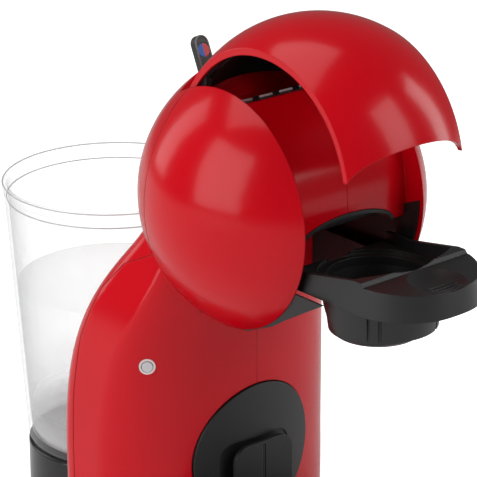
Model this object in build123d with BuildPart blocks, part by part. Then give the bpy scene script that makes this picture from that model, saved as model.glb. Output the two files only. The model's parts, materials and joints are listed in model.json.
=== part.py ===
from build123d import *
from math import cos, radians, sin
import os

os.makedirs("parts", exist_ok=True)

# Pod coffee machine, in millimetres. +Z is up and -Y is the front.
# The origin is on the table, under the middle of the machine at rest.

# Head: an ellipsoid of revolution about X, with a slot between two cheeks
head_y, head_z = -35.8, 208.5
head_half, head_r = 68.5, 69.3
wall = 2.5
slot_half = 36.9
slot_wall = 2.2
slot_back = 18.5
block_under = -8.0
skin_angle = 122.0          # where the rear skin starts, measured from the front over the top
arch_half, arch_top = 29.5, 1.5

# Lid
lid_half = 35.5
lid_wall = 2.4
lid_open = 39.0
lid_front, lid_rear = -30.3, 116.0
lid_arch = 13.0
hinge_y, hinge_z = 19.1, 48.3
hinge_pin_r = 2.5
pin_gap = 0.05
pin_reach = 39.4

# Trunk sections: height, half width, front depth of the ellipse, rear
trunk_base = 6.0
trunk_front = 19.0
trunk_rows = [
    (trunk_base, 70.0, 40.0, 92.0),
    (30.0, 70.0, 40.0, 92.0),
    (54.0, 70.0, 40.0, 92.0),
    (78.0, 69.8, 39.4, 92.0),
    (101.0, 68.6, 37.0, 90.8),
    (124.0, 65.8, 32.0, 87.0),
    (147.0, 60.8, 23.0, 78.8),
    (167.0, 53.4, 14.5, 67.6),
    (183.0, 47.8, 11.0, 56.4),
    (198.0, 44.5, 10.0, 50.0),
]
trunk_corner = 12.0

# Tank and its dock
tank_y = 133.2
tank_bottom_z, tank_top_z = 38.0, 181.0
tank_bottom_r, tank_top_r = 48.0, 57.4
tank_wall = 2.0
tank_gap = 2.5
dock_top = 36.5
dock_r = 50.0

# Pod holder and the guides it runs in
holder_half = 33.5
holder_slide = 57.0
holder_back, holder_tip = -39.6, -119.0
holder_low, ring_z = -27.0, -21.0
pod_y = -67.0
skirt_y, skirt_r, skirt_drop = -70.0, 28.4, 18.0
injector_y = pod_y + holder_slide

# Tray disc and drip tray
disc_z = 65.5
disc_r = 36.6
disc_gap = 0.5
disc_back = 27.0
disc_proud = 1.1
hook_drop = 21.0
hanger_low, hanger_top = 14.0, 73.0
hanger_half = 18.5
slit_top = 71.0
tray_front, tray_back = -88.0, 9.0
tray_half = 49.0
tray_low, tray_top = 2.0, 26.0
tray_wall = 2.2

# Selector lever
lever_half = 4.2
lever_top = 29.0
emblem_r, emblem_up = 3.5, 25.6

# Power button
button_x, button_y, button_z = -56.4, 34.5, -86.1
button_r = 2.65

# Inside
inlet_x, inlet_z, inlet_r = -50.0, 24.0, 6.0
hose_r, hose_z = 3.0, 14.0
pump_x, pump_y, pump_r = -28.0, 56.0, 13.0
pump_low, pump_high = 24.0, 100.0
heater_x, heater_y = (8.0, 56.0), (42.0, 64.0)
heater_z = (42.0, 110.0)

side = Plane(origin=(0, head_y, head_z), x_dir=(0, 1, 0), z_dir=(1, 0, 0))
top = Plane(origin=(0, head_y, 0), x_dir=(1, 0, 0), z_dir=(0, 0, 1))


def at(height):
    """The plan plane at a height above the table, centred under the head."""
    return top.offset(height)


def front_plane(y, height):
    """An upright plane facing the front."""
    return Plane(origin=(0, head_y + y, height), x_dir=(1, 0, 0), z_dir=(0, -1, 0))


def turned(y, z, degrees):
    """A point of the closed lid's side view, opened about the hinge."""
    a = radians(degrees)
    dy, dz = y - hinge_y, z - hinge_z
    return (hinge_y + dy * cos(a) + dz * sin(a), hinge_z + dz * cos(a) - dy * sin(a))


open_y, open_z = turned(0, 0, lid_open)
lid_side = Plane(
    origin=(0, head_y + open_y, head_z + open_z),
    x_dir=(0, cos(radians(lid_open)), -sin(radians(lid_open))),
    z_dir=(1, 0, 0),
)


def polar(radius, degrees):
    """Side view: 0 degrees points forwards and 90 degrees points up."""
    return (-radius * cos(radians(degrees)), radius * sin(radians(degrees)))


def ellipsoid(half, radius, y=0.0, z=0.0):
    """A solid of revolution about X, with its centre at y, z from the head's centre."""
    middle = Plane(origin=(0, head_y + y, head_z + z))
    turns = [radians(2 + 11 * i) for i in range(17)]
    flank = [(half * cos(t), -radius * sin(t)) for t in turns]
    with BuildPart() as solid:
        with BuildSketch(middle):
            with BuildLine():
                Spline(*flank)
                Polyline(flank[-1], (flank[-1][0], 0), (flank[0][0], 0), flank[0])
            make_face()
        revolve(axis=Axis((0, head_y + y, head_z + z), (1, 0, 0)))
    return solid.part


def trunk_outline(height, half, depth, rear, inset):
    """One level section: an elliptical front, flat sides and rounded rear corners."""
    w, r, c = half - inset, rear - inset, trunk_corner - inset
    front = trunk_front + inset + depth
    with BuildSketch(at(height)) as section:
        with BuildLine():
            EllipticalCenterArc((0, front), w, depth, 180, arc_size=180)
            Line((w, front), (w, r - c))
            RadiusArc((w, r - c), (w - c, r), -c)
            Line((w - c, r), (c - w, r))
            RadiusArc((c - w, r), (-w, r - c), -c)
            Line((-w, r - c), (-w, front))
        make_face()
    return section.sketch


def trunk(inset, low):
    """The trunk: upright to the shoulder, then drawn in to the neck."""
    rows = [(low,) + trunk_rows[0][1:]] + trunk_rows[1:]
    with BuildPart() as solid:
        loft([trunk_outline(*row, inset) for row in rows])
    return solid.part


def tank_cone(gap):
    """The tank's outer form, grown by a gap and run on past both ends."""
    slope = (tank_top_r - tank_bottom_r) / (tank_top_z - tank_bottom_z)
    low, high = -40.0, 40.0
    with BuildPart() as solid:
        with BuildSketch(Plane(origin=(0, head_y + tank_y, tank_bottom_z + low))):
            Circle(tank_bottom_r + gap + slope * low)
        with BuildSketch(Plane(origin=(0, head_y + tank_y, tank_top_z + high))):
            Circle(tank_top_r + gap + slope * high)
        loft(ruled=True)
    return solid.part


def slot_face(grow):
    """Side view of the slot: pod space, the block's front and the opening that the lid covers."""
    with BuildSketch(side) as region:
        with BuildLine():
            Polyline(
                (-130, 86), (-130, -130), (slot_back, -130), (slot_back, block_under),
                (-46, block_under), (-46, 5),
            )
            ThreePointArc((-46, 5), (-37.3, 33.5), (-13.4, 53))
            Polyline(
                (-13.4, 53), (-11.5, 53), (-11.5, 36), (27, 36), polar(53, skin_angle),
                polar(101, skin_angle), (-130, 86),
            )
        make_face()
        if grow:
            offset(amount=grow, kind=Kind.INTERSECTION)
    return region.sketch


def pocket(half, grow):
    """The space under the rear skin that the open lid's back edge swings into."""
    with BuildPart() as solid:
        with BuildSketch(side):
            with BuildLine():
                Polyline((20, 36 - grow), (41 + grow, 36 - grow), (41 + grow, 64), (20, 64), close=True)
            make_face()
        extrude(amount=half, both=True)
        if not grow:
            add(ellipsoid(head_half - wall - 0.3, head_r - wall - 0.3), mode=Mode.INTERSECT)
    return solid.part


def slot(half, grow):
    """The slot and its hinge pocket as one solid between the cheeks."""
    face = slot_face(grow)
    with BuildPart() as solid:
        extrude(face, amount=half, both=True)
        add(pocket(half, grow))
    return solid.part


# ---------------------------------------------------------------- casing
with BuildPart() as casing:
    add(ellipsoid(head_half, head_r))
    add(trunk(0, trunk_base))
    add(tank_cone(tank_gap), mode=Mode.SUBTRACT)
    add(slot(slot_half, 0), mode=Mode.SUBTRACT)

with BuildPart() as hollow:
    add(ellipsoid(head_half - wall, head_r - wall))
    add(trunk(wall, trunk_base - 5))
    add(tank_cone(tank_gap + wall), mode=Mode.SUBTRACT)
    add(slot(slot_half + slot_wall, slot_wall), mode=Mode.SUBTRACT)

button_plane = Plane(
    origin=(button_x, head_y + button_y, head_z + button_z),
    x_dir=(0.7834, -0.6216, 0),
    z_dir=(-0.6216, -0.7834, 0),
)
with BuildPart() as shell:
    add(casing.part)
    add(hollow.part, mode=Mode.SUBTRACT)
    # pocket and bearing bore for the tray disc
    with BuildSketch(front_plane(disc_back, disc_z)):
        Circle(disc_r + disc_gap)
    extrude(amount=20, mode=Mode.SUBTRACT)
    # mouth of the injector housing under the block, and the arch in the block's front
    with BuildSketch(side.offset(-30)):
        with Locations((-15.5, block_under + 1)):
            Rectangle(60, 4)
    extrude(amount=60, mode=Mode.SUBTRACT)
    with BuildSketch(front_plane(-38, head_z + block_under)):
        Ellipse(arch_half, arch_top - block_under)
    extrude(amount=12, mode=Mode.SUBTRACT)
    # hinge bores through both slot walls
    with BuildSketch(side.offset(-pin_reach - 0.5)):
        with Locations((hinge_y, hinge_z)):
            Circle(hinge_pin_r + pin_gap)
    extrude(amount=2 * pin_reach + 1, mode=Mode.SUBTRACT)
    # power button bore and the lever's slot in the rear skin
    with BuildSketch(button_plane.offset(-8)):
        Circle(button_r + 1.5)
    extrude(amount=14, mode=Mode.SUBTRACT)
    with BuildSketch(side):
        with BuildLine():
            Polyline(polar(60, 134.5), polar(80, 134.5), polar(80, 145.5), polar(60, 145.5), close=True)
        make_face()
    extrude(amount=13, both=True, mode=Mode.SUBTRACT)
    # cord inlet and hose hole through the back
    with BuildSketch(Plane(origin=(0, head_y + 70, 0), x_dir=(-1, 0, 0), z_dir=(0, 1, 0))):
        with Locations((-inlet_x, inlet_z)):
            Circle(inlet_r + 0.2)
        with Locations((0, hose_z)):
            Circle(hose_r + 1)
    extrude(amount=30, mode=Mode.SUBTRACT)

seam = [(24.5, 90), (24.5, -22), (34, -29), (56, -40), (68, -55), (76, -80), (78, -110), (78, -215)]


def behind(shift):
    """Everything behind the seam between the front shells and the rear cover."""
    with BuildPart() as solid:
        with BuildSketch(side):
            with BuildLine():
                Polyline(*[(y + shift, z) for y, z in seam], (150, -215), (150, 90), close=True)
            make_face()
        extrude(amount=90, both=True)
        # the middle of the back, hollowed towards the tank, is all cover
        with BuildSketch(side):
            with Locations((90, -115)):
                Rectangle(52 - 2 * shift, 180)
        extrude(amount=30 - shift, both=True)
    return solid.part


with BuildPart() as front_shell:
    add(shell.part)
    add(behind(-0.2), mode=Mode.SUBTRACT)

halves = {}
for name, sign in (("left_shell", -1), ("right_shell", 1)):
    with BuildPart() as half:
        add(front_shell.part)
        split(bisect_by=Plane.YZ.offset(sign * 0.1), keep=Keep.TOP if sign > 0 else Keep.BOTTOM)
    halves[name] = half
left_shell, right_shell = halves["left_shell"], halves["right_shell"]

with BuildPart() as rear_cover:
    add(shell.part)
    add(behind(0.2), mode=Mode.INTERSECT)


# ---------------------------------------------------------------- helpers for plain pieces
def block(x, y, z, mode=Mode.ADD):
    """A box between pairs of limits: y from the head's centre, x and z in the machine's frame."""
    with Locations(((x[0] + x[1]) / 2, head_y + (y[0] + y[1]) / 2, (z[0] + z[1]) / 2)):
        Box(x[1] - x[0], y[1] - y[0], z[1] - z[0], mode=mode)


def post(x, y, z, radius, mode=Mode.ADD):
    """An upright cylinder between two heights."""
    with Locations((x, head_y + y, (z[0] + z[1]) / 2)):
        Cylinder(radius, z[1] - z[0], mode=mode)


def bar(y, x, z, radius, mode=Mode.ADD):
    """A cylinder along X between two places."""
    with Locations(((x[0] + x[1]) / 2, head_y + y, z)):
        Cylinder(radius, x[1] - x[0], rotation=(0, 90, 0), mode=mode)


def shaft(x, y, z, radius, mode=Mode.ADD):
    """A cylinder along Y between two places."""
    with Locations((x, head_y + (y[0] + y[1]) / 2, z)):
        Cylinder(radius, y[1] - y[0], rotation=(90, 0, 0), mode=mode)


def hz(z):
    """A height given from the head's centre."""
    return head_z + z


# ---------------------------------------------------------------- base
base_outline = trunk(0.6, 3.0).faces().sort_by(Axis.Z)[0]
foot_places = [(-42, 42), (42, 42), (-28, 150), (28, 150)]

with BuildPart() as base_plate:
    extrude(base_outline, amount=-(trunk_base - 0.2 - 3.0))
    post(0, tank_y, (3.0, trunk_base - 0.2), dock_r - 2.3)
    for x, y in foot_places:
        post(x, y, (2.0, 4.5), 7.2, mode=Mode.SUBTRACT)

with BuildPart() as feet:
    for x, y in foot_places:
        post(x, y, (0, 4.3), 7.0)
    fillet(feet.faces().filter_by(Axis.Z).group_by(Axis.Z)[0].edges(), 0.8)

with BuildPart() as base_screws:
    for x, y in ((-55, 60), (55, 60), (-20, 66), (20, 66)):
        post(x, y, (2.2, 2.95), 3.4)

# ---------------------------------------------------------------- tank and dock
with BuildPart() as tank_dock:
    post(0, tank_y, (trunk_base, dock_top), dock_r - 2.1)
    fillet(tank_dock.faces().sort_by(Axis.Z)[-1].edges(), 1.2)
    post(0, tank_y, (trunk_base - 1, dock_top - 3), dock_r - 4.6, mode=Mode.SUBTRACT)
    post(0, tank_y, (26, dock_top - 2), 13)
    post(0, tank_y, (30, dock_top + 1), 10.6, mode=Mode.SUBTRACT)
    post(0, tank_y, (27, 31), 8.6, mode=Mode.SUBTRACT)
    post(0, tank_y, (20, 28), hose_r + 0.2, mode=Mode.SUBTRACT)
    shaft(0, (tank_y - dock_r - 1, tank_y - 30), hose_z, hose_r + 1, mode=Mode.SUBTRACT)

with BuildPart() as dock_seal:
    post(0, tank_y, (31, 34.5), 10.5)
    post(0, tank_y, (30, 36), 8.4, mode=Mode.SUBTRACT)

tank_low = dock_top + 0.4
with BuildPart() as water_tank:
    with BuildSketch(front_plane(tank_y, 0)):
        with BuildLine():
            Polyline(
                (5.0, 28.5), (8.0, 28.5), (8.0, tank_low), (tank_bottom_r - 4, tank_low),
            )
            RadiusArc((tank_bottom_r - 4, tank_low), (tank_bottom_r, tank_low + 4), -4)
            Polyline(
                (tank_bottom_r, tank_low + 4), (tank_top_r - 1.0, tank_top_z - 5),
                (tank_top_r, tank_top_z - 4), (tank_top_r, tank_top_z - 0.6),
                (tank_top_r - 0.6, tank_top_z), (tank_top_r - 2.2, tank_top_z),
                (tank_top_r - 2.8, tank_top_z - 0.6), (tank_top_r - 3.0, tank_top_z - 5),
                (tank_bottom_r - tank_wall, tank_low + 5), (tank_bottom_r - 5, tank_low + 2.4),
                (5.0, tank_low + 2.4), (5.0, 28.5),
            )
        make_face()
    revolve(axis=Axis((0, head_y + tank_y, 0), (0, 0, 1)))

with BuildPart() as tank_valve:
    post(0, tank_y, (29.5, 36), 4.9)
    post(0, tank_y, (tank_low + 2.5, tank_low + 4), 8)
    post(0, tank_y, (35, tank_low + 3), 3)
    post(0, tank_y, (20, 50), 1.2, mode=Mode.SUBTRACT)

# ---------------------------------------------------------------- pod guides and injector
def guide(sign):
    """One liner of the slot: a fin beside the pod holder, with a ledge under the holder's wall."""
    inner, outer = lid_half + 0.35, slot_half - 0.15
    with BuildPart() as fin:
        with BuildSketch(side.offset(inner)):
            with BuildLine():
                Polyline(
                    (-70, -27.6), (-44, -42.8), (-35, -48.6), (-17.5, -56.4), (-8, -57.6),
                    (slot_back - 0.4, -57.6), (slot_back - 0.4, block_under - 0.3),
                    (-46.4, block_under - 0.3), (-46.4, -2), polar(56, 2),
                )
                ThreePointArc(polar(56, 2), polar(56, -15), polar(56, -29.5))
                Line(polar(56, -29.5), (-70, -27.6))
            make_face()
        extrude(amount=outer - inner)
        block((29.5, inner + 0.1), (-40, slot_back - 0.4), (hz(holder_low - 2.6), hz(holder_low - 0.4)))
    return fin.part if sign > 0 else mirror(fin.part, about=Plane.YZ)


left_guide, right_guide = guide(-1), guide(1)

with BuildPart() as injector_housing:
    block((-29.4, 29.4), (-33.8, 14.2), (hz(-7.8), hz(-5.0)))
    block((-33, 33), (-33.8, 15.4), (hz(-5.4), hz(-3.4)))
    with BuildSketch(front_plane(-33.8, hz(block_under))):
        Ellipse(arch_half - 0.2, arch_top - block_under - 0.2)
        Rectangle(80, 20, align=(Align.CENTER, Align.MAX), mode=Mode.SUBTRACT)
    extrude(amount=12.8)
    with BuildSketch(front_plane(-35.8, hz(block_under))):
        Ellipse(arch_half - 2.2, arch_top - block_under - 2.2)
    extrude(amount=20, mode=Mode.SUBTRACT)
    post(0, injector_y, (hz(-12), hz(2)), 22.6, mode=Mode.SUBTRACT)

with BuildPart() as injector_dome:
    with BuildSketch(front_plane(injector_y, head_z)):
        with BuildLine():
            Polyline((0, -13.5), (9, -13.5))
            ThreePointArc((9, -13.5), (18, -11.2), (22.2, -6.5))
            Polyline((22.2, -6.5), (22.2, -2.5), (6, -2.5), (6, 20), (0, 20), (0, -13.5))
        make_face()
    revolve(axis=Axis((0, head_y + injector_y, 0), (0, 0, 1)))
    post(0, injector_y, (hz(-20), hz(30)), 1.0, mode=Mode.SUBTRACT)

with BuildPart() as injector_needle:
    post(0, injector_y, (hz(-16.4), hz(10)), 0.95)
    with Locations((0, head_y + injector_y, hz(-16.4))):
        Cone(0.2, 0.95, 1.1, align=(Align.CENTER, Align.CENTER, Align.MAX))
    post(0, injector_y, (hz(-17), hz(12)), 0.35, mode=Mode.SUBTRACT)

with BuildPart() as injector_seal:
    post(0, injector_y, (hz(-15), hz(-13.6)), 8.5)
    post(0, injector_y, (hz(-16), hz(-13)), 6.5, mode=Mode.SUBTRACT)

# ---------------------------------------------------------------- pod holder
with BuildPart() as holder_frame:
    # the outline draws in a little from the bottom edge to the top
    for height, half, tip in ((hz(holder_low), holder_half, holder_tip), (hz(-8), 32.6, -117.2)):
        with BuildSketch(at(height)):
            with BuildLine():
                Polyline((-half, -93.5), (-half, holder_back), (half, holder_back), (half, -93.5))
                right = [(0.88 * half, tip + 15), (0.67 * half, tip + 6.8), (0.38 * half, tip + 1.4)]
                left = [(-x, y) for x, y in reversed(right)]
                Spline((half, -93.5), *right, (0, tip), *left, (-half, -93.5))
            make_face()
    loft()
    # side view of the top edge: low side walls, a ridge, then the handle
    with BuildSketch(side):
        with BuildLine():
            Polyline(
                (-30, -17), (-56, -17), (-86, -11.6), (-90.5, -11.6), (-92, -13.4), (-119.5, -14.8),
                (-125, -14.8), (-125, 5), (-30, 5), close=True,
            )
        make_face()
    extrude(amount=40, both=True, mode=Mode.SUBTRACT)
    # the ring floor between the side walls, bowed forward under the ridge
    with BuildSketch(at(hz(ring_z))):
        with BuildLine():
            Polyline((-30.6, -84), (-30.6, -35), (30.6, -35), (30.6, -84))
            ThreePointArc((30.6, -84), (0, -91.5), (-30.6, -84))
        make_face()
    extrude(amount=30, mode=Mode.SUBTRACT)
    # stepped seat and through hole
    post(0, pod_y, (hz(-22.6), hz(-20)), 28.2, mode=Mode.SUBTRACT)
    post(0, pod_y, (hz(-24.2), hz(-20)), 27.2, mode=Mode.SUBTRACT)
    post(0, pod_y, (hz(-30), hz(-20)), 26.0, mode=Mode.SUBTRACT)
    # dished thumb rest and the hollow under the handle
    with Locations((0, head_y - 107, hz(12))):
        Sphere(29.5, mode=Mode.SUBTRACT)
    with BuildSketch(at(hz(holder_low))):
        with BuildLine():
            ThreePointArc((30.6, -94), (0, -99.5), (-30.6, -94))
            Spline(
                (-30.6, -94), (-26.8, -103), (-20, -109.8), (0, -116.2), (20, -109.8), (26.8, -103),
                (30.6, -94),
            )
        make_face()
    extrude(amount=6.5, mode=Mode.SUBTRACT)
    # skirt in front of the basket, with three upright slots
    with BuildSketch(Plane(origin=(0, head_y + skirt_y, hz(holder_low)))):
        Circle(skirt_r)
    extrude(amount=-skirt_drop, taper=6)
    with BuildSketch(Plane(origin=(0, head_y + pod_y, hz(holder_low + 1)))):
        Circle(26.2)
    extrude(amount=-skirt_drop - 2, mode=Mode.SUBTRACT)
    for angle in (-146, -135, -64):
        a = radians(angle)
        with Locations(Location((skirt_r * cos(a), head_y + skirt_y + skirt_r * sin(a), hz(-39)), (0, 0, angle))):
            Box(5, 1.6, 12, mode=Mode.SUBTRACT)

with BuildPart() as pod_basket:
    with BuildSketch(front_plane(pod_y, head_z)):
        with BuildLine():
            Polyline(
                (24.0, -22.7), (27.0, -22.7), (27.0, -24.1), (25.7, -24.1), (25.7, -28), (22.8, -48.4),
                (20.2, -50.4), (4.5, -50.4), (4.5, -54), (2.6, -54), (2.6, -48.6), (19, -48.6), (20.9, -47),
                (24.0, -27), (24.0, -22.7),
            )
        make_face()
    revolve(axis=Axis((0, head_y + pod_y, 0), (0, 0, 1)))

with BuildPart() as pod_strainer:
    post(0, pod_y, (hz(-48.4), hz(-47.4)), 18.2)
    with BuildSketch(Plane(origin=(0, head_y + pod_y, hz(-50)))):
        with PolarLocations(6, 6):
            Circle(1)
        with PolarLocations(12, 12):
            Circle(1)
    extrude(amount=4, mode=Mode.SUBTRACT)

# ---------------------------------------------------------------- lid
with BuildPart() as lid_shell:
    add(ellipsoid(head_half, head_r, open_y, open_z))
    add(ellipsoid(head_half - lid_wall, head_r - lid_wall, open_y, open_z), mode=Mode.SUBTRACT)
    with BuildSketch(lid_side):
        with BuildLine():
            Polyline(
                (0, 0), polar(90, lid_front), polar(110, 20), polar(110, 75), polar(90, lid_rear), (0, 0),
            )
        make_face()
    extrude(amount=lid_half, both=True, mode=Mode.INTERSECT)
    # inner side flanges, deep at the rear and thin at the front corners
    for x in (-lid_half, lid_half - 2.0):
        with BuildSketch(lid_side.offset(x)):
            with BuildLine():
                ThreePointArc(polar(58.4, lid_front), polar(58.4, 40), polar(58.4, lid_rear))
                Line(polar(58.4, lid_rear), polar(56.3, lid_rear))
                ThreePointArc(polar(56.3, lid_rear), polar(56.0, 60), polar(57.4, lid_front))
                Line(polar(57.4, lid_front), polar(58.4, lid_front))
            make_face()
        extrude(amount=2.0)

arch_plane = Plane(
    origin=lid_side.from_local_coords((0, 0, 0)),
    x_dir=(1, 0, 0),
    z_dir=(0, -cos(radians(lid_front + lid_open)), sin(radians(lid_front + lid_open))),
)
with BuildPart() as lid_arch_cut:
    with BuildSketch(arch_plane.offset(30)):
        Ellipse(lid_half + 0.5, lid_arch)
    extrude(amount=60)
with BuildPart() as lid:
    add(lid_shell.part)
    add(lid_arch_cut.part, mode=Mode.SUBTRACT)

with BuildPart() as hinge_arms:
    # cross plate under the lid that joins the two arms
    with BuildSketch(lid_side.offset(-32)):
        with BuildLine():
            ThreePointArc(polar(66.9, 92), polar(66.9, 103), polar(66.9, 114))
            Line(polar(66.9, 114), polar(55.5, 114))
            ThreePointArc(polar(55.5, 114), polar(55.5, 103), polar(55.5, 92))
            Line(polar(55.5, 92), polar(66.9, 92))
        make_face()
    extrude(amount=64)
    add(ellipsoid(head_half - lid_wall - 4.4, head_r - lid_wall - 4.4, open_y, open_z), mode=Mode.SUBTRACT)
    for x in (-33.2, 30.0):
        with BuildSketch(lid_side.offset(x)):
            with BuildLine():
                Polyline(
                    polar(65, 92), polar(65, 114), (hinge_y + 5, hinge_z), (hinge_y - 5, hinge_z), polar(65, 92),
                )
            make_face()
            with Locations((hinge_y, hinge_z)):
                Circle(5.4)
                Circle(hinge_pin_r, mode=Mode.SUBTRACT)
        extrude(amount=3.2)
    add(ellipsoid(head_half - lid_wall - 0.15, head_r - lid_wall - 0.15, open_y, open_z), mode=Mode.INTERSECT)

with BuildPart() as hinge_pins:
    bar(hinge_y, (-pin_reach, -28.5), hz(hinge_z), hinge_pin_r)
    bar(hinge_y, (28.5, pin_reach), hz(hinge_z), hinge_pin_r)

with BuildPart() as lock_frame:
    block((-28, 28), (-9.5, 30), (hz(36.3), hz(38.3)))
    block((-28, 28), (-4, 2), (hz(38.2), hz(50)))
    for i in range(7):
        x = -21 + 7 * i
        block((x - 2, x + 2), (-5, 3), (hz(42), hz(48.5)), mode=Mode.SUBTRACT)
    bar(-1, (-26, 26), hz(45.5), 1.65, mode=Mode.SUBTRACT)

with BuildPart() as lock_bar:
    bar(-1, (-25, 25), hz(45.5), 1.6)

# ---------------------------------------------------------------- lever and valve
lever_y, lever_z = 49.0, 33.0
lean = 24.0
lever_plane = Plane(
    origin=(0, head_y + lever_y, hz(lever_z)),
    x_dir=(1, 0, 0),
    z_dir=(0, -cos(radians(lean)), sin(radians(lean))),
)
with BuildPart() as selector_lever:
    with BuildSketch(lever_plane.offset(-1.8)):
        with Locations((0, (4 + lever_top) / 2)):
            SlotCenterToCenter(lever_top - 4, 2 * lever_half, rotation=90)
        Circle(5)
    extrude(amount=3.6)
    with BuildSketch(lever_plane.offset(1.1)):
        with Locations((0, emblem_up)):
            Circle(emblem_r)
    extrude(amount=3, mode=Mode.SUBTRACT)
    with BuildSketch(lever_plane.offset(-4)):
        Circle(3.0)
    extrude(amount=8, mode=Mode.SUBTRACT)

emblems = {}
for name, sign in (("cold_mark", -1), ("hot_mark", 1)):
    with BuildPart() as mark:
        with BuildSketch(lever_plane.offset(1.2)):
            with Locations((0, emblem_up)):
                Circle(emblem_r - 0.1)
            with Locations((-sign * 10, emblem_up)):
                Rectangle(20, 20, mode=Mode.SUBTRACT)
        extrude(amount=0.7)
    emblems[name] = mark

with BuildPart() as lever_spindle:
    with BuildSketch(lever_plane.offset(-5.2)):
        Circle(2.95)
    extrude(amount=8.8)

with BuildPart() as valve_block:
    block((-14, 14), (43.6, 54), (hz(6), hz(24)))
    fillet(valve_block.edges().filter_by(Axis.Z), 2)
    with BuildSketch(lever_plane.offset(-5.2)):
        with Locations((0, -4)):
            Rectangle(12, 18)
        Circle(3.0, mode=Mode.SUBTRACT)
    extrude(amount=3.0)

# ---------------------------------------------------------------- power button
with BuildPart() as power_button:
    with BuildSketch(button_plane.offset(-6)):
        Circle(button_r)
    extrude(amount=6.5)
    with BuildSketch(button_plane.offset(-6)):
        Circle(button_r + 1.1)
    extrude(amount=1.2)
with BuildPart() as light_ring:
    with BuildSketch(button_plane.offset(-3)):
        Circle(button_r + 1.4)
        Circle(button_r + 0.35, mode=Mode.SUBTRACT)
    extrude(amount=3.2)
with BuildPart() as button_spring:
    with BuildSketch(button_plane.offset(-11)):
        Circle(2.2)
        Circle(1.5, mode=Mode.SUBTRACT)
    extrude(amount=4.9)
with BuildPart() as power_switch:
    with BuildSketch(button_plane.offset(-22)):
        Rectangle(12, 12)
    extrude(amount=9.3)

# ---------------------------------------------------------------- disc and drip tray
disc_plane = front_plane(disc_back - 0.4, disc_z)
with BuildPart() as tray_disc:
    with BuildSketch(disc_plane):
        Circle(disc_r)
    extrude(amount=20)
    with BuildSketch(at(disc_z - 40)):
        with Locations((0, trunk_front + 40)):
            Ellipse(70 + disc_proud, 40 + disc_proud)
    extrude(amount=80, mode=Mode.INTERSECT)
    # recess around the tray's hanger, open at the bottom
    with BuildSketch(disc_plane.offset(6.4)):
        with Locations((-1.5, hanger_top + 1 - 25 - disc_z)):
            RectangleRounded(45, 50, 9)
    extrude(amount=20, mode=Mode.SUBTRACT)
    with BuildSketch(disc_plane):
        with Locations((0, -hook_drop)):
            Circle(6.0)
    extrude(amount=30, mode=Mode.SUBTRACT)
    shaft(0, (disc_back - 1, disc_back + 9), disc_z, 7.92)

with BuildPart() as disc_bearing:
    shaft(0, (disc_back + 0.7, disc_back + 3), disc_z, 39)
    shaft(0, (disc_back - 8, disc_back + 2), disc_z, 39)
    shaft(0, (disc_back - 10, disc_back + 0.7), disc_z, disc_r + disc_gap + 0.2, mode=Mode.SUBTRACT)
    shaft(0, (disc_back - 10, disc_back + 9), disc_z, 8.0, mode=Mode.SUBTRACT)
    add(trunk(wall + 0.2, trunk_base - 5), mode=Mode.INTERSECT)

with BuildPart() as disc_clip:
    shaft(0, (disc_back + 4, disc_back + 6), disc_z, 11)
    shaft(0, (disc_back, disc_back + 10), disc_z, 7.95, mode=Mode.SUBTRACT)

riser_y = (13.4, 15.6)
with BuildPart() as tray_hook:
    shaft(0, (16.6, disc_back - 0.8), disc_z - hook_drop, 5.93)
    block((-0.55, 0.55), (13.6, 17), (disc_z - hook_drop - 8, slit_top - 0.4))

with BuildPart() as drip_tray:
    with BuildSketch(at(tray_low)):
        with BuildLine():
            Line((-tray_half, tray_back), (tray_half, tray_back))
            Line((tray_half, tray_back), (tray_half, -40))
            ThreePointArc((tray_half, -40), (0, tray_front), (-tray_half, -40))
            Line((-tray_half, -40), (-tray_half, tray_back))
        make_face()
    extrude(amount=tray_top - tray_low)
    fillet(drip_tray.edges().filter_by(Axis.Z), 5)
    fillet(drip_tray.faces().sort_by(Axis.Z)[0].edges(), 2.5)
    rim = drip_tray.faces().sort_by(Axis.Z)[-1]
    offset(amount=-tray_wall, openings=rim)
    # hanger plate with its slit, open at the bottom
    with BuildSketch(front_plane(riser_y[1], 0)):
        with Locations((0, (hanger_top + hanger_low) / 2)):
            RectangleRounded(2 * hanger_half, hanger_top - hanger_low, 8)
        with Locations((0, slit_top)):
            Rectangle(1.8, slit_top, align=(Align.CENTER, Align.MAX), mode=Mode.SUBTRACT)
    extrude(amount=riser_y[1] - riser_y[0])
    block((-16, -3), (tray_back - 1, riser_y[0] + 0.2), (17, 24))
    block((3, 16), (tray_back - 1, riser_y[0] + 0.2), (17, 24))

with BuildPart() as drip_grid:
    with BuildSketch(at(tray_top - 2.4)):
        with BuildLine():
            edge = tray_wall + 0.5
            Line((edge - tray_half, tray_back - edge), (tray_half - edge, tray_back - edge))
            Line((tray_half - edge, tray_back - edge), (tray_half - edge, -40))
            ThreePointArc((tray_half - edge, -40), (0, tray_front + edge), (edge - tray_half, -40))
            Line((edge - tray_half, -40), (edge - tray_half, tray_back - edge))
        make_face()
    extrude(amount=2.0)
    fillet(drip_grid.edges().filter_by(Axis.Z), 4)
    for i in range(9):
        x = -32 + 8 * i
        block((x - 1.6, x + 1.6), (-66 + abs(x) * 0.5, -6), (tray_top - 4, tray_top + 2), mode=Mode.SUBTRACT)
    for x in (-28, 28):
        for y in (-38, -2):
            post(x, y, (tray_low + tray_wall + 0.4, tray_top - 2.3), 2.0)

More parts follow.
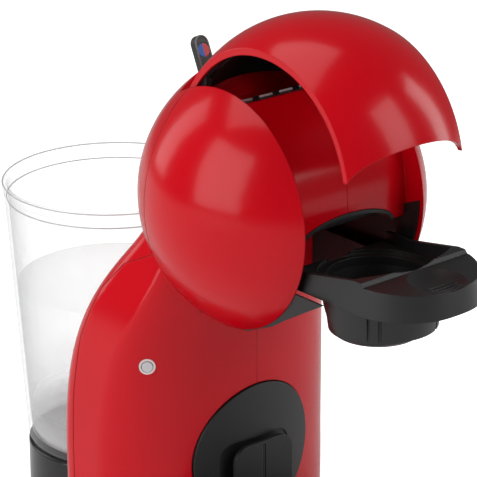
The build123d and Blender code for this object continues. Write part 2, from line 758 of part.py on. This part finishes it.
# ---------------------------------------------------------------- inside
with BuildPart() as pump:
    post(pump_x, pump_y, (pump_low, pump_high - 8), pump_r)
    post(pump_x, pump_y, (pump_low - 4, pump_low), 6)
    post(pump_x, pump_y, (pump_high - 8, pump_high), 5)
with BuildPart() as pump_coil:
    block((pump_x - 17, pump_x + 17), (pump_y - 17, pump_y + 17), (44, 74))
    fillet(pump_coil.edges().filter_by(Axis.Z), 4)
    post(pump_x, pump_y, (40, 80), pump_r + 0.1, mode=Mode.SUBTRACT)
with BuildPart() as pump_mounts:
    for z in (30, 82):
        post(pump_x, pump_y, (z, z + 6), pump_r + 4)
        post(pump_x, pump_y, (z - 1, z + 7), pump_r + 0.1, mode=Mode.SUBTRACT)
with BuildPart() as pump_bracket:
    block((pump_x - 18, pump_x + 18), (pump_y + 17.2, pump_y + 18.8), (9, 96))
    for z in (30, 82):
        block((pump_x - 18, pump_x + 18), (pump_y + 10, pump_y + 18), (z + 6.1, z + 7.6))
        post(pump_x, pump_y, (z, z + 10), pump_r + 0.3, mode=Mode.SUBTRACT)
with BuildPart() as thermoblock:
    block(heater_x, heater_y, heater_z)
    fillet(thermoblock.edges().filter_by(Axis.Y), 5)
    for x in (16, 50):
        post(x, 52, (heater_z[1] - 1, heater_z[1] + 6), 3.5)
with BuildPart() as heater_bracket:
    block((6, 60), (64.4, 66), (9, 118))
with BuildPart() as thermal_fuse:
    bar(52, (26, 40), heater_z[1] + 3.2, 3.0)
with BuildPart() as control_board:
    block((-44, -12), (62, 63.6), (128, 162))
    block((-40, -28), (55, 62.1), (132, 146))
    block((-24, -16), (57, 62.1), (148, 158))
with BuildPart() as cord_inlet:
    shaft(inlet_x, (84, 95), inlet_z, inlet_r)
    shaft(inlet_x, (92.3, 95), inlet_z, inlet_r + 2.2)
    shaft(inlet_x, (80, 100), inlet_z, 3.6, mode=Mode.SUBTRACT)


def hose(radius, bend, *points):
    """A hose of constant section along straight runs joined by arcs."""
    places = [(x, head_y + y, z) for x, y, z in points]
    with BuildPart() as tube:
        with BuildLine() as path:
            FilletPolyline(*places, radius=bend)
        with BuildSketch(Plane(origin=path.line @ 0, z_dir=path.line % 0)):
            Circle(radius)
        sweep()
    return tube.part


suction_hose = hose(hose_r, 5, (0, tank_y, 25.8), (0, tank_y, hose_z), (0, 70, hose_z),
                    (pump_x, pump_y, hose_z), (pump_x, pump_y, pump_low - 4.1))
pressure_hose = hose(2.5, 8, (pump_x, pump_y, pump_high + 0.1), (pump_x, pump_y, 124), (16, 52, 130),
                     (16, 52, heater_z[1] + 6.2))
hot_hose = hose(2.5, 10, (50, 52, heater_z[1] + 6.2), (50, 50, 150), (8, 49, 188), (8, 49, hz(6) - 0.1))
brew_hose = hose(2.0, 8, (-8, 43.4, hz(15)), (-8, 24, hz(15)), (-14, 15.0, hz(6)), (-24, 15.6, hz(6)))

pieces = {
    "left_shell": left_shell.part, "right_shell": right_shell.part, "rear_cover": rear_cover.part,
    "base_plate": base_plate.part, "feet": feet.part, "base_screws": base_screws.part,
    "tank_dock": tank_dock.part, "dock_seal": dock_seal.part, "water_tank": water_tank.part,
    "tank_valve": tank_valve.part, "left_guide": left_guide, "right_guide": right_guide,
    "injector_housing": injector_housing.part, "injector_dome": injector_dome.part,
    "injector_needle": injector_needle.part, "injector_seal": injector_seal.part,
    "holder_frame": holder_frame.part, "pod_basket": pod_basket.part, "pod_strainer": pod_strainer.part,
    "lid_shell": lid.part, "hinge_arms": hinge_arms.part, "hinge_pins": hinge_pins.part,
    "lock_frame": lock_frame.part, "lock_bar": lock_bar.part, "selector_lever": selector_lever.part,
    "cold_mark": emblems["cold_mark"].part, "hot_mark": emblems["hot_mark"].part,
    "lever_spindle": lever_spindle.part, "valve_block": valve_block.part,
    "power_button": power_button.part, "light_ring": light_ring.part, "button_spring": button_spring.part,
    "power_switch": power_switch.part, "tray_disc": tray_disc.part, "disc_bearing": disc_bearing.part,
    "disc_clip": disc_clip.part, "tray_hook": tray_hook.part, "drip_tray": drip_tray.part,
    "drip_grid": drip_grid.part, "pump": pump.part, "pump_coil": pump_coil.part,
    "pump_mounts": pump_mounts.part, "pump_bracket": pump_bracket.part, "thermoblock": thermoblock.part,
    "heater_bracket": heater_bracket.part, "thermal_fuse": thermal_fuse.part,
    "control_board": control_board.part, "cord_inlet": cord_inlet.part,
    "suction_hose": suction_hose, "pressure_hose": pressure_hose, "hot_hose": hot_hose,
    "brew_hose": brew_hose,
}
for name, piece in pieces.items():
    piece.label = name
    export_step(piece, f"parts/{name}.step")
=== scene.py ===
import bmesh
import bpy
import json
from math import cos, pi, radians, sin
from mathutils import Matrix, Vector


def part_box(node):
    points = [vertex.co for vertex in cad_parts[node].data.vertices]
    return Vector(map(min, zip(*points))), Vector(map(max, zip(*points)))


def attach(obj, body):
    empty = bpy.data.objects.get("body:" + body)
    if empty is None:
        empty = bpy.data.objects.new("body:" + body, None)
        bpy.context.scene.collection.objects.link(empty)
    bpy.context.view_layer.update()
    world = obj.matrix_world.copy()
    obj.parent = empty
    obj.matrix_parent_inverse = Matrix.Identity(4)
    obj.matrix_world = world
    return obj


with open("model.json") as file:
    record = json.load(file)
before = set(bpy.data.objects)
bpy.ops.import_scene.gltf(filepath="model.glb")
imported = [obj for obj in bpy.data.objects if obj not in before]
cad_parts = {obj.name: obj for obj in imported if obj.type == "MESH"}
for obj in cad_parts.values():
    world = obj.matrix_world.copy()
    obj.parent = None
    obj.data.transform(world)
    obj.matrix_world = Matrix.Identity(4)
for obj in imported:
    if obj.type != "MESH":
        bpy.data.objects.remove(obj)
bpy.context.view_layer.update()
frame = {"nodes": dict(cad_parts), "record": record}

headCentre = Vector((0, -0.0358, 0.2085))   # middle of the round head


view = {
    "distance": 1.2004,
    "direction": (-0.6193, -0.7099, 0.3355),
    "lens": 190.4,
    "sensor": 36,
    "shiftX": -0.0914,
    "shiftY": -0.0992,
}

cameraData = bpy.data.cameras.new("camera")
cameraData.lens = view["lens"]
cameraData.sensor_width = view["sensor"]
cameraData.shift_x = view["shiftX"]
cameraData.shift_y = view["shiftY"]
camera = bpy.data.objects.new("camera", cameraData)
toCamera = Vector(view["direction"]).normalized()
camera.location = headCentre + toCamera * view["distance"]
camera.rotation_euler = toCamera.to_track_quat("Z", "Y").to_euler()
bpy.context.scene.collection.objects.link(camera)
bpy.context.scene.camera = camera

lamps = {
    # place from the head centre, width, height, watts
    "leftBox": ((-1.9, 0.15, 0.75), 1.5, 1.7, 25),
    "frontBox": ((0.9, -1.7, 1.1), 0.9, 1.3, 13),
    "topBox": ((-0.2, 0.4, 1.7), 1.5, 1.2, 12),
    "rightStrip": ((1.4, -0.5, 0.3), 0.4, 1.4, 7),
    "backStrip": ((-0.6, 1.5, 0.6), 0.6, 1.3, 5),
}

for name, (place, width, height, watts) in lamps.items():
    lampData = bpy.data.lights.new(name, "AREA")
    lampData.shape = "RECTANGLE"
    lampData.size = width
    lampData.size_y = height
    lampData.energy = watts
    lamp = bpy.data.objects.new(name, lampData)
    lamp.location = headCentre + Vector(place)
    lamp.rotation_euler = Vector(place).to_track_quat("Z", "Y").to_euler()
    bpy.context.scene.collection.objects.link(lamp)

studio = {
    "seen": 1.0,                             # what the camera sees behind the machine
    "fill": 0.16,                            # what lights and reflects
}
white = (1, 1, 1, 1)

world = bpy.data.worlds.new("studio")
world.use_nodes = True
bpy.context.scene.world = world
worldNodes = world.node_tree.nodes
worldLinks = world.node_tree.links
fillLight = worldNodes["Background"]
fillLight.inputs["Color"].default_value = white
backdropLight = worldNodes.new("ShaderNodeBackground")
backdropLight.inputs["Color"].default_value = white
backdropLight.inputs["Strength"].default_value = studio["seen"]
fillLight.inputs["Strength"].default_value = studio["fill"]
lightPath = worldNodes.new("ShaderNodeLightPath")
worldMix = worldNodes.new("ShaderNodeMixShader")
worldLinks.new(lightPath.outputs["Is Camera Ray"], worldMix.inputs["Fac"])
worldLinks.new(fillLight.outputs[0], worldMix.inputs[1])
worldLinks.new(backdropLight.outputs[0], worldMix.inputs[2])
worldLinks.new(worldMix.outputs[0], worldNodes["World Output"].inputs["Surface"])
bpy.context.scene.view_settings.view_transform = "Standard"
print("camera,", len(lamps), "lamps and world")


class Wire:                                  # one shader socket, with arithmetic
    def __init__(self, maker, socket):
        self.maker = maker
        self.socket = socket

    def combine(self, kind, other, swap=False):
        first, second = (other, self) if swap else (self, other)
        return self.maker.add("Math", {"operation": kind}, {0: first, 1: second})

    def __add__(self, other):
        return self.combine("ADD", other)

    def __radd__(self, other):
        return self.combine("ADD", other)

    def __sub__(self, other):
        return self.combine("SUBTRACT", other)

    def __rsub__(self, other):
        return self.combine("SUBTRACT", other, True)

    def __mul__(self, other):
        return self.combine("MULTIPLY", other)

    def __rmul__(self, other):
        return self.combine("MULTIPLY", other)

    def __pow__(self, other):
        return self.combine("POWER", other)


class Finish:                                # one material under construction
    def __init__(self, name):
        self.material = bpy.data.materials.new(name)
        self.material.use_nodes = True
        self.tree = self.material.node_tree
        self.shader = self.tree.nodes["Principled BSDF"]
        self.output = self.tree.nodes["Material Output"]

    def add(self, kind, settings=None, values=None, out=0):
        node = self.tree.nodes.new("ShaderNode" + kind)
        for key, value in (settings or {}).items():
            if key == "stops":
                ramp = node.color_ramp
                while len(ramp.elements) < len(value):
                    ramp.elements.new(0.5)
                for element, (place, colour) in zip(ramp.elements, value):
                    element.position = place
                    element.color = colour
            else:
                setattr(node, key, value)
        self.feed(node, values or {})
        return Wire(self, node.outputs[out])

    def feed(self, node, values):
        for key, value in values.items():
            if isinstance(value, Wire):
                self.tree.links.new(value.socket, node.inputs[key])
            else:
                node.inputs[key].default_value = value

    def set(self, **values):                 # Base_Color stands for Base Color
        self.feed(self.shader, {key.replace("_", " "): value for key, value in values.items()})
        return self

    def place(self):
        return self.add("TexCoord", out=3)

    def noise(self, scale, detail=2.0, rough=0.5, stretch=None):
        where = self.place()
        if stretch:
            where = self.add("Mapping", {}, {0: where, 3: stretch})
        values = {"Vector": where, "Scale": scale, "Detail": detail, "Roughness": rough}
        return self.add("TexNoise", {}, values)

    def bump(self, height, strength, distance, edge=0.0):
        values = {"Height": height, "Strength": strength, "Distance": distance}
        if edge:                             # moulded edges catch the light as if rounded
            values["Normal"] = self.add("Bevel", {"samples": 4}, {"Radius": edge})
        return self.add("Bump", {}, values)

    def blend(self, factor, first, second):
        return self.add("Mix", {"data_type": "RGBA"}, {0: factor, 6: first, 7: second}, out=2)

    def ramp(self, factor, stops):
        return self.add("ValToRGB", {"stops": stops}, {0: factor})


def grey(level, alpha=1.0):
    return (level, level, level, alpha)


def glossRed():                              # injection-moulded, high gloss, faint flow and dust, with painted shade towards the outline
    paint = Finish("glossRed")
    flow = paint.noise(22, 3)
    specks = paint.noise(900, 2, 0.7)
    colour = paint.blend(flow, (0.56, 0.0003, 0.0060, 1), (0.64, 0.0006, 0.0095, 1))
    edge = paint.add("LayerWeight", {}, {"Blend": 0.4}, out=1)
    colour = paint.blend(edge ** 2.0 * 0.8, colour, (0.40, 0.0, 0.0035, 1))   # painted shade: deeper towards the outline, where the surface turns away from the camera
    paint.set(Base_Color=colour, Roughness=flow * 0.05 + 0.17 + specks * 0.03)
    paint.set(Coat_Weight=0.1, Coat_Roughness=0.08, Specular_IOR_Level=0.22)
    paint.set(Normal=paint.bump(paint.noise(140, 2) * 0.6 + specks * 0.1, 0.05, 0.0003, 0.0008))
    return paint.material


def satinBlack(name="satinBlack", level=0.009, rough=0.34, grain=2200, depth=0.12):
    paint = Finish(name)
    sparks = paint.noise(grain, 3, 0.6)          # spark-eroded mould texture
    cloud = paint.noise(60, 2)
    colour = paint.blend(cloud, grey(level * 0.85), grey(level * 1.25))
    paint.set(Base_Color=colour, Roughness=cloud * 0.08 + rough + sparks * 0.06)
    paint.set(Normal=paint.bump(sparks, depth, 0.0002, 0.0006), Specular_IOR_Level=0.5)
    return paint.material


def rubberBlack():
    paint = Finish("rubberBlack")
    grain = paint.noise(1500, 4, 0.7)
    paint.set(Base_Color=paint.blend(grain, grey(0.012), grey(0.03)), Roughness=grain * 0.15 + 0.65)
    paint.set(Normal=paint.bump(grain, 0.3, 0.0002))
    return paint.material


def clearTank():                             # clear moulded plastic, denser where the wall is seen edge on
    paint = Finish("clearTank")
    edge = paint.add("LayerWeight", {}, {"Blend": 0.35}, out=1)
    streaks = paint.noise(40, 2, 0.5, (1, 1, 0.08))
    paint.set(Base_Color=paint.blend(streaks, (0.46, 0.47, 0.48, 1), (0.56, 0.57, 0.58, 1)))
    paint.set(Alpha=edge ** 2.2 * 0.6 + 0.06 + streaks * 0.03, Roughness=streaks * 0.04 + 0.05)
    paint.set(Coat_Weight=0.4, Coat_Roughness=0.03, IOR=1.46)
    paint.set(Normal=paint.bump(streaks, 0.06, 0.0005))
    return paint.material


def water():
    paint = Finish("water")
    ripple = paint.noise(30, 2)
    edge = paint.add("LayerWeight", {}, {"Blend": 0.3}, out=1)
    paint.set(Base_Color=paint.blend(ripple, (0.72, 0.74, 0.75, 1), (0.80, 0.81, 0.82, 1)))
    height = paint.add("SeparateXYZ", {}, {0: paint.place()}, out=2)
    depth = paint.ramp(height * 10, [(0.40, grey(0.80)), (0.55, grey(0.30)), (0.80, grey(0.10))])
    paint.set(Alpha=edge * 0.12 + depth, Roughness=ripple * 0.03 + 0.03, IOR=1.33)
    paint.set(Normal=paint.bump(ripple, 0.04, 0.0006))
    return paint.material


def brushedMetal(name, colour, rough, stretch):
    paint = Finish(name)
    brush = paint.noise(420, 4, 0.7, stretch)
    darker = tuple(c * 0.75 for c in colour) + (1,)
    paint.set(Base_Color=paint.blend(brush, darker, colour + (1,)))
    paint.set(Metallic=1.0, Roughness=brush * 0.2 + rough)
    paint.set(Normal=paint.bump(brush, 0.1, 0.0001))
    return paint.material


def mouldedPlastic(name, low, high, rough, coat=0.0, alpha=1.0):
    paint = Finish(name)
    cloud = paint.noise(180, 3)
    paint.set(Base_Color=paint.blend(cloud, low + (1,), high + (1,)), Roughness=cloud * 0.08 + rough)
    paint.set(Coat_Weight=coat, Alpha=alpha, Normal=paint.bump(paint.noise(1400, 2), 0.06, 0.0001))
    return paint.material


def circuitBoard():
    paint = Finish("circuitBoard")
    tracks = paint.add("TexBrick", {}, {"Vector": paint.place(), "Scale": 260.0, "Mortar Size": 0.03,
                                    "Color1": (0.01, 0.13, 0.04, 1), "Color2": (0.02, 0.19, 0.07, 1),
                                    "Mortar": (0.03, 0.30, 0.10, 1)})
    paint.set(Base_Color=tracks, Roughness=paint.noise(300) * 0.1 + 0.3)
    return paint.material


def castAlloy():
    paint = Finish("castAlloy")
    grain = paint.noise(700, 5, 0.7)
    paint.set(Base_Color=paint.blend(grain, grey(0.42), grey(0.62)))
    paint.set(Metallic=0.9, Roughness=grain * 0.25 + 0.4)
    paint.set(Normal=paint.bump(grain, 0.35, 0.0004))
    return paint.material


finishes = {
    "gloss_red": glossRed(),
    "satin_black": satinBlack(),
    "rubber_black": rubberBlack(),
    "zinc_steel": brushedMetal("zincSteel", (0.58, 0.58, 0.56), 0.32, (1, 1, 0.1)),
    "clear_tank": clearTank(),
    "white_plastic": mouldedPlastic("whitePlastic", (0.66, 0.66, 0.63), (0.78, 0.78, 0.75), 0.4),
    "steel": brushedMetal("stainless", (0.66, 0.66, 0.67), 0.2, (0.1, 1, 1)),
    "blue_mark": mouldedPlastic("blueMark", (0.0, 0.07, 0.42), (0.01, 0.10, 0.52), 0.18, 0.5),
    "red_mark": mouldedPlastic("redMark", (0.50, 0.01, 0.01), (0.6, 0.02, 0.02), 0.18, 0.5),
    "button_white": mouldedPlastic("buttonWhite", (0.60, 0.60, 0.62), (0.70, 0.70, 0.71), 0.22, 0.4),
    "button_ring": mouldedPlastic("buttonRing", (0.80, 0.66, 0.66), (0.88, 0.76, 0.76), 0.3, 0.2),
    "coil_copper": satinBlack("coilCover", 0.03, 0.5, 900, 0.2),
    "cast_alloy": castAlloy(),
    "board_green": circuitBoard(),
    "silicone_hose": mouldedPlastic("siliconeHose", (0.62, 0.62, 0.58), (0.74, 0.74, 0.70), 0.35, 0.1),
}
glossBlack = satinBlack("glossBlack", 0.012, 0.10, 600, 0.02)

for part in frame["record"]["subparts"]:
    node = frame["nodes"][part["node"]]
    finish = finishes[part["material_slot"]]
    if part["node"] in ("injector_dome", "tank_dock"):
        finish = glossBlack
    node.data.materials.clear()
    node.data.materials.append(finish)
print("finishes on", len(frame["nodes"]), "CAD nodes")


def newPiece(name, bm, material, body, smooth=True):
    mesh = bpy.data.meshes.new(name)
    bmesh.ops.recalc_face_normals(bm, faces=bm.faces[:])
    bm.to_mesh(mesh)
    bm.free()
    for face in mesh.polygons:
        face.use_smooth = smooth
    mesh.materials.append(material)
    piece = bpy.data.objects.new(name, mesh)
    bpy.context.scene.collection.objects.link(piece)
    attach(piece, body)
    return piece


def lathe(points, centre, steps):            # radius and height pairs spun about an upright axis
    bm = bmesh.new()
    verts = [bm.verts.new((centre[0] + r, centre[1], z)) for r, z in points]
    edges = [bm.edges.new(pair) for pair in zip(verts, verts[1:])]
    bmesh.ops.spin(bm, geom=verts + edges, cent=(centre[0], centre[1], 0), axis=(0, 0, 1),
                   angle=radians(360), steps=steps, use_merge=True)
    bmesh.ops.remove_doubles(bm, verts=bm.verts[:], dist=1e-6)
    return bm


waterSize = {
    "bottom": 0.0398,
    "wallFoot": 0.045,                       # where the wall starts to rise straight
    "level": 0.125,
    "valve": 0.0090,                         # radius left free round the valve
    "gap": 0.0004,                           # inside the tank's inner wall
    "steps": 96,
}

tankLow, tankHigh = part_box("water_tank")
tankCentre = ((tankLow.x + tankHigh.x) / 2, (tankLow.y + tankHigh.y) / 2)
tankRims = {"low": 0.0459, "high": 0.0543, "lowZ": 0.0418, "highZ": 0.176}


def innerRadius(z):
    share = (z - tankRims["lowZ"]) / (tankRims["highZ"] - tankRims["lowZ"])
    return tankRims["low"] + (tankRims["high"] - tankRims["low"]) * share - waterSize["gap"]


level = waterSize["level"]
bottom = waterSize["bottom"]
wallFoot = waterSize["wallFoot"]
heights = [wallFoot + (level - wallFoot) * i / 6 for i in range(7)]
waterLine = [(waterSize["valve"], bottom), (innerRadius(0.043) - 0.002, bottom + 0.0002)]
waterLine += [(innerRadius(height), height) for height in heights]
waterLine += [(innerRadius(level) - 0.0012, level - 0.0007), (innerRadius(level) - 0.004, level - 0.001),
              (0.0005, level - 0.001)]     # the surface turns up a little at the wall
newPiece("tankWater", lathe(waterLine, tankCentre, waterSize["steps"]), water(), "tank")
print("water in the tank")

rimLines = {
    "places": ((0.0568, 0.1803), (0.0549, 0.1725)),   # radius and height of each moulded line
    "thick": 0.00035,
    "steps": 96,
}

for number, (radius, height) in enumerate(rimLines["places"]):
    thick = rimLines["thick"]
    turns = [i * pi / 4 for i in range(9)]
    ring = [(radius + thick * cos(turn), height + thick * sin(turn)) for turn in turns]
    newPiece("tankLine%d" % number, lathe(ring, tankCentre, rimLines["steps"]),
             mouldedPlastic("tankLine%d" % number, (0.40, 0.41, 0.42), (0.50, 0.51, 0.52), 0.2, 0.3, 0.55),
             "tank")


def tube(bm, points, radius, sides=10):      # a round bar through a list of points, closed at its ends
    rings = []
    for number, point in enumerate(points):
        before, after = points[max(number - 1, 0)], points[min(number + 1, len(points) - 1)]
        turn = (after - before).to_track_quat("Z", "Y")
        rings.append([bm.verts.new(point + turn @ Vector((radius * cos(2 * pi * i / sides),
                                                          radius * sin(2 * pi * i / sides), 0)))
                      for i in range(sides)])
    for low, high in zip(rings, rings[1:]):
        for i in range(sides):
            bm.faces.new((low[i], low[(i + 1) % sides], high[(i + 1) % sides], high[i]))
    bm.faces.new(rings[0][::-1])
    bm.faces.new(rings[-1])


slotBars = {
    "length": 0.0074, "pitch": 0.0123, "first": -0.0269, "count": 4,
    "y": -0.001, "z": 0.0503, "radius": 0.0006,
}

bm = bmesh.new()
for number in range(slotBars["count"]):
    left = slotBars["first"] + slotBars["pitch"] * number
    start = headCentre + Vector((left, slotBars["y"], slotBars["z"]))
    tube(bm, [start, start + Vector((slotBars["length"], 0, 0))], slotBars["radius"])
newPiece("lockSlotBars", bm, mouldedPlastic("slotBars", (0.55, 0.56, 0.57), (0.66, 0.67, 0.68), 0.25, 0.3),
         "casing")

thumbRidges = {
    "centre": (0.0, -0.107, 0.012),          # the dish is part of this sphere
    "radius": 0.0295,
    "rows": (-0.0075, -0.0045, -0.0015, 0.0015),
    "half": 0.0085,
    "thick": 0.0004,
}

bm = bmesh.new()
dish = headCentre + Vector(thumbRidges["centre"])
for row in thumbRidges["rows"]:
    half = thumbRidges["half"] * (1 - (row / 0.016) ** 2)
    line = []
    for i in range(13):
        x = -half + 2 * half * i / 12
        y = row - 0.002 * (x / half) ** 2
        line.append(dish + Vector((x, y, -(thumbRidges["radius"] ** 2 - x * x - y * y) ** 0.5 + 0.0001)))
    tube(bm, line, thumbRidges["thick"], 8)
newPiece("thumbRidges", bm, finishes["satin_black"], "holder")

leverRim = {
    "pivot": (0.0, 0.049, 0.033),            # from the head centre
    "lean": 24.0,
    "low": 0.0110, "high": 0.0290,           # straight part, up the lever
    "half": 0.00375,
    "lift": 0.0018,
    "thick": 0.00045,
}

lean = radians(leverRim["lean"])
up = Vector((0, sin(lean), cos(lean)))
out = Vector((0, -cos(lean), sin(lean)))
pivot = headCentre + Vector(leverRim["pivot"]) + out * leverRim["lift"]
outline = [(-leverRim["half"], leverRim["low"])]
outline += [(-leverRim["half"] * cos(pi * i / 14), leverRim["high"] + leverRim["half"] * sin(pi * i / 14))
            for i in range(15)]
outline += [(leverRim["half"], leverRim["low"])]
bm = bmesh.new()
tube(bm, [pivot + Vector((x, 0, 0)) + up * v for x, v in outline], leverRim["thick"], 8)
newPiece("leverRim", bm, mouldedPlastic("leverEdge", (0.10, 0.10, 0.10), (0.16, 0.16, 0.16), 0.25, 0.4),
         "lever")
print("tank lines, slot bars, thumb ridges and lever rim")

floorSize = {
    "half": 6,
    "level": 0.9,
    "glow": 0.7,                             # white to the camera, dim to everything else
}

floorMesh = bpy.data.meshes.new("floor")
bm = bmesh.new()
bmesh.ops.create_grid(bm, x_segments=1, y_segments=1, size=floorSize["half"])
bm.to_mesh(floorMesh)
bm.free()
floor = bpy.data.objects.new("floor", floorMesh)
bpy.context.scene.collection.objects.link(floor)
floorFinish = Finish("floorPaper")
seen = floorFinish.add("LightPath")
floorFinish.set(Base_Color=grey(floorSize["level"]), Roughness=0.9, Specular_IOR_Level=0.1)
floorFinish.set(Emission_Color=seen, Emission_Strength=floorSize["glow"])
floorMesh.materials.append(floorFinish.material)
print("floor")
